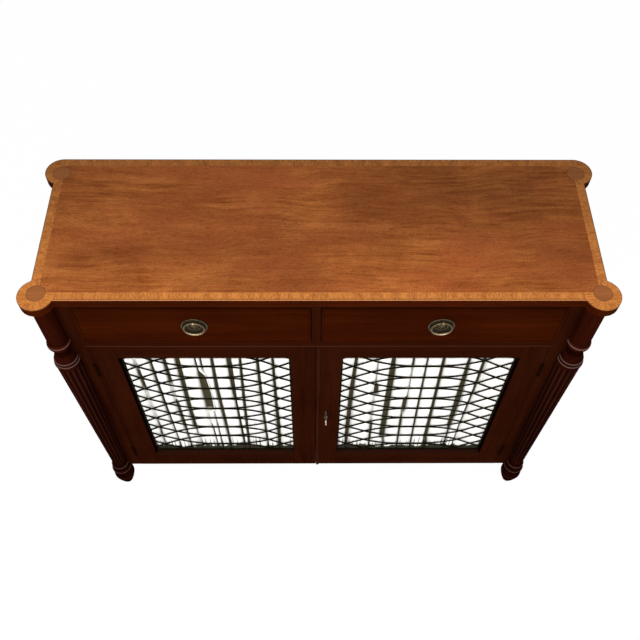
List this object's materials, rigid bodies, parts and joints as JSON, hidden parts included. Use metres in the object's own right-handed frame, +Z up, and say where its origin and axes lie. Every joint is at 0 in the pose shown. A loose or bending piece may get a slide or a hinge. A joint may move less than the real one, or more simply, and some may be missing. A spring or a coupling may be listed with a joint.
{
  "type": "chiffonier",
  "caption": "Side cabinet with a round-cornered crossbanded top on turned reeded columns, drawers over wire-grilled doors lined with pleated silk.",
  "frame": {"origin": "on the floor, under the middle of the top", "axes": "+X to the right as one faces the doors, +Y to the back, +Z up"},
  "size_m": [1.14, 0.38, 0.918],
  "materials": {
    "figured_mahogany": "polished",
    "satinwood": "polished",
    "mahogany": "french polished",
    "carcase_wood": "unfinished, aged",
    "brass": "aged",
    "bronze_wire": "dark patina",
    "steel": "worn",
    "silk": "pleated"
  },
  "bodies": {
    "case": {"back_panel": "carcase_wood", "bottom_board": "carcase_wood", "case_hinge_leaves": "brass", "drawer_divider": "mahogany", "drawer_guides": "carcase_wood", "drawer_rail": "mahogany", "drawer_runners": "carcase_wood", "front_left_column": "mahogany", "front_right_column": "mahogany", "hinge_pins": "brass", "left_front_stile": "mahogany", "left_side_panel": "mahogany", "rear_left_column": "mahogany", "rear_right_column": "mahogany", "right_front_stile": "mahogany", "right_side_panel": "mahogany", "shelf": "carcase_wood", "shelf_battens": "carcase_wood", "top_board": "mahogany", "top_corner_roundels": "figured_mahogany", "top_crossbanding": "satinwood", "top_field_veneer": "figured_mahogany", "top_front_rail": "mahogany"},
    "left_drawer": {"left_drawer_back": "carcase_wood", "left_drawer_bottom": "carcase_wood", "left_drawer_cockbeading": "mahogany", "left_drawer_front": "mahogany", "left_drawer_sides": "carcase_wood", "left_handle_boss": "brass", "left_handle_plate": "brass"},
    "right_drawer": {"right_drawer_back": "carcase_wood", "right_drawer_bottom": "carcase_wood", "right_drawer_cockbeading": "mahogany", "right_drawer_front": "mahogany", "right_drawer_sides": "carcase_wood", "right_handle_boss": "brass", "right_handle_plate": "brass"},
    "left_ring": {"left_handle_ring": "brass"},
    "right_ring": {"right_handle_ring": "brass"},
    "left_door": {"left_door_curtain": "silk", "left_door_curtain_rods": "brass", "left_door_grille": "bronze_wire", "left_door_hinge_leaves": "brass", "left_door_hinge_stile": "mahogany", "left_door_meeting_stile": "mahogany", "left_door_rails": "mahogany"},
    "right_door": {"right_door_curtain": "silk", "right_door_curtain_rods": "brass", "right_door_grille": "bronze_wire", "right_door_hinge_leaves": "brass", "right_door_hinge_stile": "mahogany", "right_door_key_escutcheon": "brass", "right_door_lock": "brass", "right_door_meeting_bead": "mahogany", "right_door_meeting_stile": "mahogany", "right_door_rails": "mahogany"},
    "key": {"right_door_key": "steel"},
    "lock_bolt": {"right_door_lock_bolt": "steel"},
    "slip_bolt": {"left_door_slip_bolt": "brass"}
  },
  "joints": [
    {"name": "left_drawer_slide", "type": "slide", "parent": "case", "child": "left_drawer", "axis": [0, -1, 0], "range_m": [0, 0.24]},
    {"name": "left_ring_swing", "type": "hinge", "parent": "left_drawer", "child": "left_ring", "pos_m": [-0.25075, -0.1606, 0.8255], "axis": [-1, 0, 0], "range_deg": [0, 95]},
    {"name": "left_door_swing", "type": "hinge", "parent": "case", "child": "left_door", "pos_m": [-0.4835, -0.1564, 0.409], "axis": [0, 0, -1], "range_deg": [0, 110]},
    {"name": "right_drawer_slide", "type": "slide", "parent": "case", "child": "right_drawer", "axis": [0, -1, 0], "range_m": [0, 0.24]},
    {"name": "right_ring_swing", "type": "hinge", "parent": "right_drawer", "child": "right_ring", "pos_m": [0.24375, -0.1606, 0.8255], "axis": [-1, 0, 0], "range_deg": [0, 95]},
    {"name": "right_door_swing", "type": "hinge", "parent": "case", "child": "right_door", "pos_m": [0.4835, -0.1564, 0.409], "axis": [0, 0, 1], "range_deg": [0, 110]},
    {"name": "key_turn", "type": "hinge", "parent": "right_door", "child": "key", "pos_m": [0.01675, -0.153, 0.42], "axis": [0, -1, 0], "range_deg": [0, 45]},
    {"name": "lock_bolt_throw", "type": "slide", "parent": "right_door", "child": "lock_bolt", "axis": [-1, 0, 0], "range_m": [0, 0.0064]},
    {"name": "slip_bolt_slide", "type": "slide", "parent": "left_door", "child": "slip_bolt", "axis": [0, 0, 1], "range_m": [0, 0.01]}
  ],
  "couplings": [
    {"joint": "lock_bolt_throw", "follows": "key_turn", "m_per_rad": 0.00814}
  ]
}
